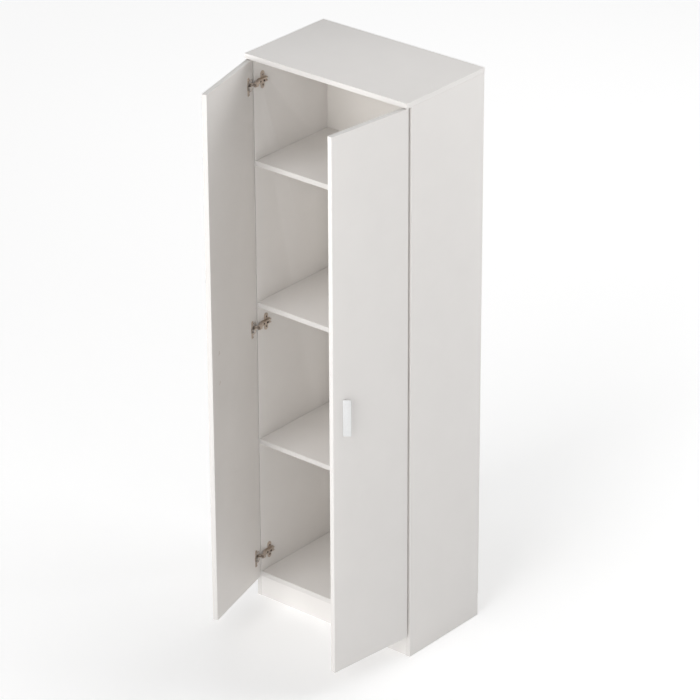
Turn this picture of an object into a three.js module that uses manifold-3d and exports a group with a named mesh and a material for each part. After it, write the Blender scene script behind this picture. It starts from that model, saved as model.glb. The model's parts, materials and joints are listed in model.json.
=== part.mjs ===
// Broom cupboard with two doors, three shelves and concealed hinges, in millimetres, +Z up.
// The origin is the middle of the plinth's underside, on the floor. +X is to the right and
// +Y to the back. The doors stand open at their rest angles.

import * as THREE from 'three';
import { mergeVertices } from 'three/addons/utils/BufferGeometryUtils.js';
import Module from 'manifold-3d';

const wasm = await Module();
wasm.setup();

// Driving dimensions of the carcass
const cupboardWidth = 600;
const cupboardHeight = 1788;
const carcassDepth = 330;
const topOverhang = 20;
const boardThickness = 16;
const backThickness = 3;
const plinthHeight = 69;
const shelfNames = ['lower_shelf', 'middle_shelf', 'upper_shelf'];
const innerSetback = 1;
const shelfEndClearance = 0.5;
const shelfBackClearance = 1.5;
const backInset = 1.5;
const backLap = 12;
const fitGap = 0.3;

// Driving dimensions of the doors, which stand open at rest
const doorSideReveal = 1.5;
const doorMiddleGap = 3;
const doorTopGap = 2.5;
const doorBottomRise = 1.4;
const doorFrontGap = 2;
const leftDoorAngle = THREE.MathUtils.degToRad(74.7);
const rightDoorAngle = THREE.MathUtils.degToRad(83.7);
const hingeEndInset = 76;
const shelfAboveHinge = 59;

// Finishes
const whiteBoard = { color: 0xe6e3df, roughness: 0.5, metalness: 0 };
const whiteHardboard = { color: 0xdedad5, roughness: 0.6, metalness: 0 };
const nickel = { color: 0xa89b8e, roughness: 0.35, metalness: 1 };
const darkSteel = { color: 0x6b645d, roughness: 0.4, metalness: 1 };
const zinc = { color: 0x9a9a98, roughness: 0.45, metalness: 1 };
const satinAluminium = { color: 0xd6d6d4, roughness: 0.4, metalness: 0.9 };

// Fineness of round shapes
const holeSides = 8;
const roundSides = 20;
const bendSteps = 4;
const pullSteps = 10;
const mergeTolerance = 1e-4;
const cutOverrun = 1;

// Places that follow from the carcass
const half = cupboardWidth / 2;
const innerHalf = half - boardThickness;
const innerFrontY = -boardThickness / 2;
const frontY = innerFrontY - innerSetback;
const backY = frontY + carcassDepth;
const backPanelY = backY - backThickness;
const topUnderside = cupboardHeight - boardThickness;
const floorTop = plinthHeight + boardThickness;
const doorWidth = (cupboardWidth - 2 * doorSideReveal - doorMiddleGap) / 2;
const doorBottom = plinthHeight + doorBottomRise;
const doorTop = topUnderside - doorTopGap;
const hingeHeights = {
  lower: doorBottom + hingeEndInset,
  middle: (doorBottom + doorTop) / 2,
  upper: doorTop - hingeEndInset,
};
// The middle shelf lies just above the middle hinges, and the shelves are evenly spaced
const middleShelfTop = hingeHeights.middle + shelfAboveHinge + boardThickness;
const shelfPitch = (middleShelfTop - floorTop) / 2;
const shelfTops = shelfNames.map((name, i) => floorTop + (i + 1) * shelfPitch);
const sides = { left: { hand: 1, angle: leftDoorAngle }, right: { hand: -1, angle: rightDoorAngle } };

const cupboard = new THREE.Group();

// Vectors in plan
const point = (x, y) => new THREE.Vector2(x, y);
const turnedBy = (vector, angle) => vector.clone().rotateAround(point(0, 0), angle);

// Planes in which an outline can be drawn: its first axis, its second axis and its depth axis
const axisX = new THREE.Vector3(1, 0, 0);
const axisY = new THREE.Vector3(0, 1, 0);
const axisZ = new THREE.Vector3(0, 0, 1);
const inPlan = { axes: [axisX, axisY, axisZ], way: 1 };
const onSide = { axes: [axisY, axisZ, axisX], way: 1 };
const onFace = { axes: [axisX, axisZ, axisY.clone().negate()], way: -1 };

function signedVolume(geometry) {
  const [a, b, c] = [new THREE.Vector3(), new THREE.Vector3(), new THREE.Vector3()];
  const corners = geometry.attributes.position;
  let sum = 0;
  for (let i = 0; i < geometry.index.count; i += 3) {
    a.fromBufferAttribute(corners, geometry.index.getX(i));
    b.fromBufferAttribute(corners, geometry.index.getX(i + 1));
    c.fromBufferAttribute(corners, geometry.index.getX(i + 2));
    sum += a.dot(b.cross(c));
  }
  return sum;
}

// A geometry of positions only, with shared vertices, no collapsed triangles and faces out
function bareGeometry(geometry) {
  const copy = geometry.clone();
  for (const name of Object.keys(copy.attributes)) {
    if (name !== 'position') copy.deleteAttribute(name);
  }
  const merged = mergeVertices(copy, mergeTolerance);
  const kept = [];
  for (let i = 0; i < merged.index.count; i += 3) {
    const [a, b, c] = [0, 1, 2].map((corner) => merged.index.getX(i + corner));
    if (a !== b && b !== c && c !== a) kept.push(a, b, c);
  }
  merged.setIndex(kept);
  merged.clearGroups();
  if (signedVolume(merged) < 0) merged.setIndex(kept.reverse());
  return merged;
}

function solidOf(geometry) {
  const bare = bareGeometry(geometry);
  return new wasm.Manifold(new wasm.Mesh({
    numProp: 3,
    vertProperties: new Float32Array(bare.attributes.position.array),
    triVerts: new Uint32Array(bare.index.array),
  }));
}

function geometryOf(solid) {
  const mesh = solid.getMesh();
  const geometry = new THREE.BufferGeometry();
  geometry.setAttribute('position', new THREE.BufferAttribute(new Float32Array(mesh.vertProperties), 3));
  geometry.setIndex(new THREE.BufferAttribute(new Uint32Array(mesh.triVerts), 1));
  return geometry;
}

function cut(body, cutters) {
  return geometryOf(cutters.reduce((rest, cutter) => rest.subtract(solidOf(cutter)), solidOf(body)));
}

function join(bodies) {
  return geometryOf(bodies.slice(1).reduce((sum, body) => sum.add(solidOf(body)), solidOf(bodies[0])));
}

function common(first, second) {
  return geometryOf(solidOf(first).intersect(solidOf(second)));
}

function addPiece(name, finish, shape, parent = cupboard) {
  const geometry = bareGeometry(shape);
  geometry.computeVertexNormals();
  const mesh = new THREE.Mesh(geometry, new THREE.MeshStandardMaterial(finish));
  mesh.name = name;
  parent.add(mesh);
}

// A box between two corners
function block(low, high) {
  const size = high.map((value, i) => value - low[i]);
  return new THREE.BoxGeometry(...size).translate(...low.map((value, i) => value + size[i] / 2));
}

// A shape turned about an axis: its profile gives radii and places along the axis
function turned(profile, start, direction, sideCount = holeSides) {
  const outline = profile.map(([radius, place]) => point(radius, place));
  const turn = new THREE.Quaternion().setFromUnitVectors(axisY, direction);
  return new THREE.LatheGeometry(outline, sideCount).applyQuaternion(turn).translate(...start);
}

// A round bar from a point, along a direction
function bar(start, direction, length, radius, sideCount = holeSides) {
  return turned([[0, 0], [radius, 0], [radius, length], [0, length]], start, direction, sideCount);
}

// A round hole that starts a little outside the surface
function hole(start, inward, depth, radius, sideCount = holeSides) {
  const outside = inward.clone().multiplyScalar(-cutOverrun).add(new THREE.Vector3(...start));
  return bar(outside.toArray(), inward, depth + cutOverrun, radius, sideCount);
}

// An outline drawn out between two places along the depth axis of its plane
function prism(outline, low, high, plane = inPlan) {
  const settings = { depth: high - low, bevelEnabled: false, steps: 1 };
  const start = plane.way > 0 ? low : -high;
  return new THREE.ExtrudeGeometry(new THREE.Shape(outline), settings)
    .translate(0, 0, start)
    .applyMatrix4(new THREE.Matrix4().makeBasis(...plane.axes));
}

// Points of an arc about a centre, both ends included
function arc(centre, radius, from, to, steps = bendSteps) {
  return Array.from({ length: steps + 1 }, (unused, i) => {
    const angle = from + (to - from) * i / steps;
    return point(centre.x + radius * Math.cos(angle), centre.y + radius * Math.sin(angle));
  });
}

// A band of even width with round ends that follows a line of points
function band(points, halfWidth, endSteps = bendSteps) {
  const heading = (from, to) => Math.atan2(to.y - from.y, to.x - from.x);
  const right = Math.PI / 2;
  const last = points.length - 1;
  const sideLine = (side) => points.slice(1, last).map((middle, i) => {
    const before = heading(points[i], middle);
    const after = heading(middle, points[i + 2]);
    const bend = Math.atan2(Math.sin(after - before), Math.cos(after - before)) / 2;
    const reach = halfWidth / Math.cos(bend);
    const normal = before + bend + side * right;
    return point(middle.x + reach * Math.cos(normal), middle.y + reach * Math.sin(normal));
  });
  const first = heading(points[0], points[1]);
  const final = heading(points[last - 1], points[last]);
  return [
    ...arc(points[0], halfWidth, first + right, first + 3 * right, endSteps),
    ...sideLine(-1),
    ...arc(points[last], halfWidth, final - right, final + right, endSteps),
    ...sideLine(1).reverse(),
  ];
}

// A left-hand geometry as it is, or its mirror image for the right hand
function handed(geometry, hand) {
  return hand > 0 ? geometry : geometry.clone().scale(-1, 1, 1);
}

// The group of a side's pieces, with its origin on the side's inner face at its front edge
function sideGroup(hand) {
  const group = new THREE.Group();
  group.position.set(-hand * innerHalf, frontY, 0);
  cupboard.add(group);
  return group;
}

// A place moved by a distance along a direction
const moved = (start, way, distance) => way.clone().multiplyScalar(distance)
  .add(new THREE.Vector3(...start)).toArray();

// Shelf pins: one half sits in the side, the other half carries the shelf
const shelfPinRadius = 2.5;
const shelfPinHalf = 8;
const shelfPinInset = 58;
const shelfPinRows = { front: frontY + shelfPinInset, back: backPanelY - shelfPinInset };

function shelfPinPlace(hand, top, y) {
  return [-hand * innerHalf, y, top - boardThickness - shelfPinRadius - fitGap];
}

function shelfPinHoles(hand) {
  const outward = axisX.clone().multiplyScalar(-hand);
  return shelfTops.flatMap((top) => Object.values(shelfPinRows).map((y) => hole(
    shelfPinPlace(hand, top, y), outward, shelfPinHalf + fitGap, shelfPinRadius + fitGap)));
}

function shelfPinPiece(place, hand) {
  const outward = axisX.clone().multiplyScalar(-hand);
  return bar(moved(place, outward, -shelfPinHalf), outward, 2 * shelfPinHalf, shelfPinRadius);
}

const forward = axisY.clone().negate();

// The two-link hinge, in plan. Its origin is on the side's inner face at the front edge, with
// X inward and Y to the back. In the door's frame the first value runs from the door's hinge
// edge across the door, and the second from its inner face into the cupboard.
const outerPivot = point(14, -3.5);
const innerPivot = point(14, -8.5);
const outerCupPin = point(9.18, -5.62);
const innerCupPin = point(12.12, -2.21);
const outerLinkRatio = 0.345;
const innerLinkRatio = 0.64;
const innerLinkFitAngle = THREE.MathUtils.degToRad(79);
const closedCorner = point(doorSideReveal - boardThickness, -doorFrontGap);

// Where the corner of the door's hinge edge and inner face lies at an opening angle
const outerLinkClosed = closedCorner.clone().add(outerCupPin).sub(outerPivot);
function doorCorner(angle) {
  const pin = outerPivot.clone().add(turnedBy(outerLinkClosed, outerLinkRatio * angle));
  return pin.sub(turnedBy(outerCupPin, -angle));
}
function innerPinPlace(angle) {
  return doorCorner(angle).add(turnedBy(innerCupPin, -angle));
}
const innerLinkClosed = turnedBy(
  innerPinPlace(innerLinkFitAngle).sub(innerPivot), -innerLinkRatio * innerLinkFitAngle);

// Cup, let into the door's inner face
const cupRadius = 17.2;
const cupWall = 0.7;
const cupDepth = 12.5;
const cupCentre = 20.5;
const flangeThickness = 1;
const flangeRim = 1.5;
const flangeFlat = 8;
const earCentre = 31;
const earHalfWidth = 6;
const earHalfHeight = 29;
const cupScrewHalfSpan = 24;
const cupBlockReach = 16;
const cupBlockInset = 6.2;
const cupBoreRadius = cupRadius + fitGap;
const cupBoreDepth = cupDepth + fitGap;
const flangeTop = fitGap + flangeThickness;

// Pins and links
const pinRadius = 1.25;
const pinHoleRadius = pinRadius + fitGap;
const cupPinReach = 9.5;
const innerLinkHalf = 2.4;
const outerLinkHalf = 4.6;
const cheekInside = innerLinkHalf + fitGap;
const linkHalfWidth = 1.8;
const barrelRadius = 2.3;
const innerLinkBendShares = [[0.5, 0.1]];
const outerLinkBendShares = [[0.15, -0.06], [0.24, -0.046], [0.34, 0.056], [0.41, 0.165], [0.55, 0.25],
  [0.68, 0.244], [0.86, 0.142]];

// Arm over its mounting plate
const armHalfWidth = 6.5;
const armSheet = 1.2;
const armTop = 9;
const armBack = 52;
const noseTop = 18;
const crankStart = 12;
const crankEnd = 2;
const heelBack = 6;
const adjustPlace = 20;
const adjustRadius = 3;
const fixPlace = 33.5;
const fixRadius = 2.6;
const fixHeadRadius = 4.2;
const fixHeadThickness = 2.2;
const plateThickness = 2;
const plateCentre = 37;
const plateEarHalf = 8;
const plateEarReach = 27.5;
const plateFront = 14;
const plateBack = 53.5;
const plateHalfWidth = 8;
const plateScrewHalfSpan = 16;
const plateBlockFront = 24.5;
const plateBlockBack = 50;
const plateBlockHalf = 4.9;
const screwSlotHalf = 0.6;
const adjustProud = 0.6;

// Screws of the hinges
const screwRadius = 1.75;
const screwHoleRadius = screwRadius + fitGap;
const screwHeadRadius = 3.4;
const screwHeadHeight = 1.5;
const screwDepth = 12;

// A line at an even distance under the arm's upper face, from its back to its nose
function armLine(depth, back, front) {
  const bend = Math.atan2(noseTop - armTop, crankStart - crankEnd);
  const lag = depth * Math.tan(bend / 2);
  return [point(armTop - depth, back), point(armTop - depth, crankStart - lag),
    point(noseTop - depth, crankEnd - lag), point(noseTop - depth, front)];
}

function armPiece() {
  const noseRadius = noseTop - innerPivot.x;
  const foot = plateThickness + fitGap;
  const outline = [
    ...armLine(0, armBack, innerPivot.y),
    ...arc(innerPivot, noseRadius, 0, -Math.PI).slice(1),
    point(innerPivot.x - noseRadius, outerPivot.y),
    point(foot, heelBack),
    point(foot, armBack),
  ];
  const below = -cutOverrun;
  const channel = [
    ...armLine(armSheet, armBack + cutOverrun, innerPivot.y - noseRadius - cutOverrun),
    point(below, innerPivot.y - noseRadius - cutOverrun),
    point(below, armBack + cutOverrun),
  ];
  const cheek = armHalfWidth - armSheet;
  const slotRadius = fixRadius + fitGap;
  const webUnder = armTop - armSheet;
  const body = cut(prism(outline, -armHalfWidth, armHalfWidth), [
    prism(channel, -cheek, cheek),
    block([webUnder - cutOverrun, fixPlace, -slotRadius],
      [armTop + cutOverrun, armBack + cutOverrun, slotRadius]),
  ]);
  return join([body, adjustingScrew(), fixingScrew(), ...[outerPivot, innerPivot].map(armPin)]);
}

// Mounting plate with two ears and a raised block that the arm is fixed to
function platePiece() {
  const ears = band([point(plateCentre, plateEarHalf - plateEarReach),
    point(plateCentre, plateEarReach - plateEarHalf)], plateEarHalf);
  const blockTop = armTop - armSheet - fitGap;
  const body = join([
    prism(ears, 0, plateThickness, onSide),
    block([0, plateFront, -plateHalfWidth], [plateThickness, plateBack, plateHalfWidth]),
    block([plateThickness / 2, plateBlockFront, -plateBlockHalf], [blockTop, plateBlockBack, plateBlockHalf]),
  ]);
  const outward = axisX.clone().negate();
  const screws = [-1, 1].map((way) => screwPiece(
    [plateThickness, plateCentre, way * plateScrewHalfSpan], outward));
  return join([
    cut(body, [hole([blockTop, fixPlace, 0], outward, blockTop - plateThickness, fixRadius + fitGap)]),
    ...screws,
  ]);
}

// Wood screw with a low head, its underside at the start
function screwPiece(start, inward) {
  const tip = screwRadius;
  const profile = [[0, -screwHeadHeight], [screwHeadRadius / 2, -screwHeadHeight],
    [screwHeadRadius, -screwHeadHeight / 2], [screwHeadRadius, 0], [screwRadius, 0],
    [screwRadius, screwDepth - tip], [0, screwDepth]];
  return turned(profile, start, inward);
}

function adjustingScrew() {
  const low = plateThickness;
  const high = armTop + adjustProud;
  const slot = screwSlotHalf;
  const body = bar([low, adjustPlace, 0], axisX, high - low, adjustRadius);
  return cut(body, [block([high - armSheet, adjustPlace - adjustRadius - cutOverrun, -slot],
    [high + cutOverrun, adjustPlace + adjustRadius + cutOverrun, slot])]);
}

function fixingScrew() {
  const low = plateThickness + fitGap;
  const high = armTop + fixHeadThickness;
  const slot = screwSlotHalf;
  const profile = [[0, 0], [fixRadius, 0], [fixRadius, armTop - low], [fixHeadRadius, armTop - low],
    [fixHeadRadius, high - low - slot], [fixHeadRadius - slot, high - low], [0, high - low]];
  const body = turned(profile, [low, fixPlace, 0], axisX);
  return cut(body, [block([high - armSheet, fixPlace - fixHeadRadius - cutOverrun, -slot],
    [high + cutOverrun, fixPlace + fixHeadRadius + cutOverrun, slot])]);
}

const armPin = (pivot) => bar([pivot.x, pivot.y, -armHalfWidth], axisZ, 2 * armHalfWidth, pinRadius);

// A link's line from its arm pivot to its cup pin, bent by shares along and across it
function linkLine(reach, bendShares) {
  const across = turnedBy(reach, Math.PI / 2);
  const bends = bendShares.map(([ahead, aside]) => reach.clone().multiplyScalar(ahead)
    .add(across.clone().multiplyScalar(aside)));
  return [point(0, 0), ...bends, reach.clone()];
}

// Outer link: two cheeks, held together by the barrel on the arm's pin
function outerLinkPiece() {
  const outline = band(linkLine(outerLinkClosed, outerLinkBendShares), linkHalfWidth);
  const origin = [0, 0, -outerLinkHalf];
  const pinEnd = [outerLinkClosed.x, outerLinkClosed.y, -outerLinkHalf];
  const through = 2 * outerLinkHalf + cutOverrun;
  return cut(join([
    bar(origin, axisZ, 2 * outerLinkHalf, barrelRadius),
    prism(outline, cheekInside, outerLinkHalf),
    prism(outline, -outerLinkHalf, -cheekInside),
  ]), [hole(origin, axisZ, through, pinHoleRadius), hole(pinEnd, axisZ, through, pinHoleRadius)]);
}

// Inner link: one thick bar between the outer link's cheeks
function innerLinkPiece() {
  const line = linkLine(innerLinkClosed, innerLinkBendShares);
  const body = join([
    prism(band(line, linkHalfWidth), -innerLinkHalf, innerLinkHalf),
    ...[point(0, 0), innerLinkClosed].map((end) => bar(
      [end.x, end.y, -innerLinkHalf], axisZ, 2 * innerLinkHalf, barrelRadius)),
  ]);
  return cut(body, [point(0, 0), innerLinkClosed].map((end) => hole(
    [end.x, end.y, -innerLinkHalf], axisZ, 2 * innerLinkHalf + cutOverrun, pinHoleRadius)));
}

// Cup with its flange, two ears and the two inner walls that hold the cup's pins
function cupPiece() {
  const inside = cupRadius - cupWall;
  const floor = -cupDepth + cupWall;
  const shell = turned([[0, -cupDepth], [cupRadius, -cupDepth], [cupRadius, flangeTop],
    [inside, flangeTop], [inside, floor], [0, floor]], [cupCentre, 0, 0], axisY, roundSides);
  const ears = band([point(earCentre, earHalfWidth - earHalfHeight),
    point(earCentre, earHalfHeight - earHalfWidth)], earHalfWidth);
  const rim = bar([cupCentre, fitGap, 0], axisY, flangeThickness, cupRadius + flangeRim, roundSides);
  const opening = bar([cupCentre, floor, 0], axisY, cupDepth + 2 * flangeTop, inside, roundSides);
  const flange = cut(join([prism(ears, fitGap, flangeTop, onFace), rim]), [opening]);
  const fillStart = [cupCentre, floor - cupWall / 2, 0];
  const wallFill = bar(fillStart, axisY, cupWall / 2 - floor, cupRadius - cupWall / 2, roundSides);
  const walls = [-1, 1].map((way) => common(wallFill, block(
    [0, -cupDepth, Math.min(way * cupBlockInset, way * cupRadius)],
    [cupBlockReach, 0, Math.max(way * cupBlockInset, way * cupRadius)])));
  const flatSide = block([-cutOverrun, fitGap, -cupRadius - cutOverrun],
    [flangeFlat, flangeTop + cutOverrun, cupRadius + cutOverrun]);
  const screws = [-1, 1].map((way) => screwPiece([earCentre, flangeTop, way * cupScrewHalfSpan], forward));
  return join([cut(join([shell, flange, ...walls]), [flatSide]), ...cupPins(), ...screws]);
}

// The outer link's pins reach in between its cheeks, and the inner link's stop beside them
function cupPins() {
  const starts = [[outerCupPin, cheekInside], [innerCupPin, outerLinkHalf + fitGap]];
  return starts.flatMap(([pin, start]) => [-1, 1].map((way) => bar(
    [pin.x, pin.y, way * start], axisZ.clone().multiplyScalar(way), cupPinReach - start, pinRadius)));
}

// Pull: an extruded lip with a flat face that rises from the door and a hollow for the fingers
const pullLength = 115;
const pullEdgeInset = 37.3;
const pullFace = 24.3;
const pullFaceAngle = THREE.MathUtils.degToRad(44);
const pullLip = 1.5;
const pullBase = 12;
const pullHeel = 1.5;
const pullHollowShares = [0.43, 0.36];
const pullScrewEndInset = 9.5;
const pullScrewInset = 8.4;
const pullScrewBite = 4.2;
const pullScrewRadius = 2;
const pullScrewHead = 4;
const capRadius = 5;
const capThickness = 1.6;
const pocketDepth = 4.5;
const pullHeight = cupboardHeight / 2;
const pullScrewHeights = [-1, 1].map((way) => pullHeight + way * (pullLength / 2 - pullScrewEndInset));
const pullScrewPlace = doorWidth - pullEdgeInset - pullScrewInset;

function pullPiece() {
  const face = point(Math.cos(pullFaceAngle), Math.sin(pullFaceAngle));
  const under = point(face.y, -face.x);
  const lipCentre = face.clone().multiplyScalar(pullFace - pullLip).add(under.clone().multiplyScalar(pullLip));
  const lipEnd = lipCentre.clone().add(under.clone().multiplyScalar(pullLip));
  const hollow = new THREE.QuadraticBezierCurve(lipEnd,
    point(pullFace * pullHollowShares[0], pullFace * pullHollowShares[1]), point(pullBase, pullHeel));
  const section = [
    point(0, 0),
    ...arc(lipCentre, pullLip, pullFaceAngle + Math.PI / 2, pullFaceAngle - Math.PI / 2, pullSteps),
    ...hollow.getPoints(pullSteps).slice(1),
    point(pullBase, 0),
  ];
  const onDoor = section.map((corner) => point(
    doorWidth - pullEdgeInset - corner.x, -boardThickness - fitGap - corner.y));
  const body = prism(onDoor, pullHeight - pullLength / 2, pullHeight + pullLength / 2);
  return cut(body, pullScrewHeights.map((z) => hole(
    [pullScrewPlace, -boardThickness - fitGap, z], forward, pullScrewBite + fitGap, pullScrewRadius + fitGap)));
}

function pullScrew(z) {
  const seat = fitGap - pocketDepth;
  const length = boardThickness + seat + fitGap + pullScrewBite;
  const profile = [[0, seat], [capRadius, seat], [capRadius, seat + capThickness],
    [pullScrewHead, seat + capThickness], [pullScrewHead, 0], [pullScrewRadius, 0],
    [pullScrewRadius, length], [0, length]];
  return turned(profile, [pullScrewPlace, seat, z], forward);
}

function doorPiece() {
  const board = block([0, -boardThickness, doorBottom], [doorWidth, 0, doorTop]);
  const hinges = Object.values(hingeHeights).flatMap((z) => [
    hole([cupCentre, 0, z], forward, cupBoreDepth, cupBoreRadius, roundSides),
    ...[-1, 1].map((way) => hole([earCentre, 0, z + way * cupScrewHalfSpan],
      forward, screwDepth - flangeTop + fitGap, screwHoleRadius)),
  ]);
  const pulls = pullScrewHeights.flatMap((z) => [
    hole([pullScrewPlace, 0, z], forward, pocketDepth, capRadius + fitGap, roundSides),
    hole([pullScrewPlace, 0, z], forward, boardThickness + cutOverrun, pullScrewRadius + fitGap),
  ]);
  return cut(board, [...hinges, ...pulls]);
}

// Boards of the carcass
addPiece('top_panel', whiteBoard, block(
  [-half, frontY - topOverhang, topUnderside], [half, backY, cupboardHeight]));

for (const [side, { hand }] of Object.entries(sides)) {
  const plateScrewHoles = Object.values(hingeHeights).flatMap((z) => [-1, 1].map((way) => hole(
    [-hand * innerHalf, frontY + plateCentre, z + way * plateScrewHalfSpan],
    axisX.clone().multiplyScalar(-hand), screwDepth - plateThickness + fitGap, screwHoleRadius)));
  const across = [-hand * half, -hand * innerHalf].sort((a, b) => a - b);
  const board = block([across[0], frontY, 0], [across[1], backPanelY, topUnderside]);
  addPiece(`${side}_side`, whiteBoard, cut(board, [...shelfPinHoles(hand), ...plateScrewHoles]));
}

addPiece('bottom_panel', whiteBoard, block(
  [-innerHalf, innerFrontY, plinthHeight], [innerHalf, backPanelY, floorTop]));
addPiece('plinth', whiteBoard, block(
  [-innerHalf, innerFrontY, 0], [innerHalf, innerFrontY + boardThickness, plinthHeight]));
addPiece('back_panel', whiteHardboard, block(
  [backInset - half, backPanelY, floorTop - backLap], [half - backInset, backY, topUnderside]));
shelfNames.forEach((name, i) => {
  const end = innerHalf - shelfEndClearance;
  addPiece(name, whiteBoard, block([-end, innerFrontY, shelfTops[i] - boardThickness],
    [end, backPanelY - shelfBackClearance, shelfTops[i]]));
});

for (const [side, { hand }] of Object.entries(sides)) {
  for (const [row, y] of Object.entries(shelfPinRows)) {
    shelfNames.forEach((name, i) => addPiece(`${name}_pin_${side}_${row}`, zinc,
      shelfPinPiece(shelfPinPlace(hand, shelfTops[i], y), hand)));
  }
}

// Doors and hinges
const plate = platePiece();
const arm = armPiece();
const outerLink = outerLinkPiece();
const innerLink = innerLinkPiece();
const cup = cupPiece();

for (const [side, { hand, angle }] of Object.entries(sides)) {
  const fixed = sideGroup(hand);
  const door = new THREE.Group();
  const corner = doorCorner(angle);
  door.position.set(hand * corner.x, corner.y, 0);
  door.rotation.z = -hand * angle;
  fixed.add(door);
  const ofHand = (geometry) => handed(geometry, hand);
  addPiece(`${side}_door`, whiteBoard, ofHand(doorPiece()), door);
  addPiece(`${side}_handle`, satinAluminium, ofHand(pullPiece()), door);
  pullScrewHeights.forEach((z, i) => addPiece(
    `${side}_handle_screw_${i + 1}`, zinc, ofHand(pullScrew(z)), door));

  for (const [level, height] of Object.entries(hingeHeights)) {
    const name = `${side}_${level}_hinge`;
    const raised = (geometry) => ofHand(geometry.clone()).translate(0, 0, height);
    addPiece(`${name}_plate`, nickel, raised(plate), fixed);
    addPiece(`${name}_arm`, nickel, raised(arm), fixed);
    addPiece(`${name}_cup`, nickel, raised(cup), door);
    for (const [part, piece, pivot, ratio] of [
      ['outer_link', outerLink, outerPivot, outerLinkRatio],
      ['inner_link', innerLink, innerPivot, innerLinkRatio],
    ]) {
      const link = new THREE.Group();
      link.position.set(hand * pivot.x, pivot.y, height);
      link.rotation.z = hand * ratio * angle;
      fixed.add(link);
      addPiece(`${name}_${part}`, darkSteel, ofHand(piece), link);
    }
  }
}

export default cupboard;
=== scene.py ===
# A broom cupboard of white melamine-faced board, standing open on a pale studio floor.
import json
import math

import bmesh
import bpy
from mathutils import Matrix, Vector


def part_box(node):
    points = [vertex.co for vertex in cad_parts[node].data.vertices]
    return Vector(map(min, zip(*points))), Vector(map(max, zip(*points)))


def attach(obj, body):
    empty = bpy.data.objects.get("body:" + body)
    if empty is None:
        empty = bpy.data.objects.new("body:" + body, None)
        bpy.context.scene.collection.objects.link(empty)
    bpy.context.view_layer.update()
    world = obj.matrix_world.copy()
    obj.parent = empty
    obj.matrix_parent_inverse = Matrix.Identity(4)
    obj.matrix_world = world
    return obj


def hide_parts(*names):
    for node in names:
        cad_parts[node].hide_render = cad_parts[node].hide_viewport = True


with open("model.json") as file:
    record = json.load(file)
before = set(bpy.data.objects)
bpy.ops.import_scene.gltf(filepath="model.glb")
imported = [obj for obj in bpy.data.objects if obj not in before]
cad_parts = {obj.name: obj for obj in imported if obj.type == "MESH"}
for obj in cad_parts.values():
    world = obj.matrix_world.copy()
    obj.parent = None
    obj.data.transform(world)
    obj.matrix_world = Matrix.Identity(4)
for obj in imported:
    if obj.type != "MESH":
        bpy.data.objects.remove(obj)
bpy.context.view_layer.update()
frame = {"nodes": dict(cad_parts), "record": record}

# Camera: a long lens that looks down on the cupboard from the front right. Its place, aim and
# focal length were fitted to the straight edges of the boards in the photograph.
camera_place = (6.59737, -7.81275, 5.93453)
camera_right = Vector((0.768344, 0.640026, -0.003740)).normalized()
camera_forward = Vector((-0.575972, 0.688876, -0.440120)).normalized()
sensor_width_mm = 36.0
focal_length_mm = 200.36
farthest_seen = 500.0
camera_data = bpy.data.cameras.new("camera")
camera_data.sensor_width = sensor_width_mm
camera_data.lens = focal_length_mm
camera_data.clip_end = farthest_seen
camera = bpy.data.objects.new("camera", camera_data)
camera_up = camera_right.cross(camera_forward)
camera_turn = Matrix((camera_right, camera_up, -camera_forward)).transposed()
camera.matrix_world = Matrix.Translation(camera_place) @ camera_turn.to_4x4()
bpy.context.scene.collection.objects.link(camera)
bpy.context.scene.camera = camera

# Carcass boards: 16 mm chipboard faced with white melamine, sawn square and eased. A thin ABS
# band closes the long edges, and strips of the face's own paper close the ends of the top.
millimetre = 0.001


# A colour's sRGB hex value as the linear shares that the shaders take
def linear(hex_colour):
    shares = [int(hex_colour[i:i + 2], 16) / 255 for i in (1, 3, 5)]
    curve = [s / 12.92 if s <= 0.04045 else ((s + 0.055) / 1.055) ** 2.4 for s in shares]
    return (*curve, 1.0)


# The scale of a pattern whose grain has this real width
def per_metre(size_mm):
    return 1.0 / (size_mm * millimetre)


def add_node(tree, kind, settings=None, links=None):
    node = tree.nodes.new(kind)
    for name, value in (settings or {}).items():
        if name in node.inputs:
            node.inputs[name].default_value = value
        else:
            setattr(node, name, value)
    for name, (source, output) in (links or {}).items():
        tree.links.new(source.outputs[output], node.inputs[name])
    return node


def start_material(name):
    material = bpy.data.materials.new(name)
    material.use_nodes = True
    material.node_tree.nodes.clear()
    return material, material.node_tree


# White melamine: a hard satin resin face. The press leaves a pearl 0.6 mm wide and 0.01 mm
# deep, which gives a soft, even sheen. Clouds 90 mm wide stand for the paper's faint shade.
melamine, tree = start_material("melamine_pearl_white")
place = add_node(tree, "ShaderNodeTexCoord")
pearl = add_node(tree, "ShaderNodeTexNoise", {"Scale": per_metre(0.6), "Detail": 2.0},
                 {"Vector": (place, "Object")})
paper = add_node(tree, "ShaderNodeTexNoise", {"Scale": per_metre(90.0), "Detail": 3.0},
                 {"Vector": (place, "Object")})
shade = add_node(tree, "ShaderNodeMixRGB", {"Color1": linear("#EAE7E4"), "Color2": linear("#EEEBE8")},
                 {"Fac": (paper, "Fac")})
sheen = add_node(tree, "ShaderNodeMapRange", {"To Min": 0.40, "To Max": 0.50}, {"Value": (pearl, "Fac")})
relief = add_node(tree, "ShaderNodeBump", {"Distance": 0.01 * millimetre, "Strength": 0.35},
                  {"Height": (pearl, "Fac")})
shader = add_node(tree, "ShaderNodeBsdfPrincipled", {"IOR": 1.5},
                  {"Base Color": (shade, "Color"), "Roughness": (sheen, "Result"),
                   "Normal": (relief, "Normal")})
add_node(tree, "ShaderNodeOutputMaterial", links={"Surface": (shader, "BSDF")})

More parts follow.
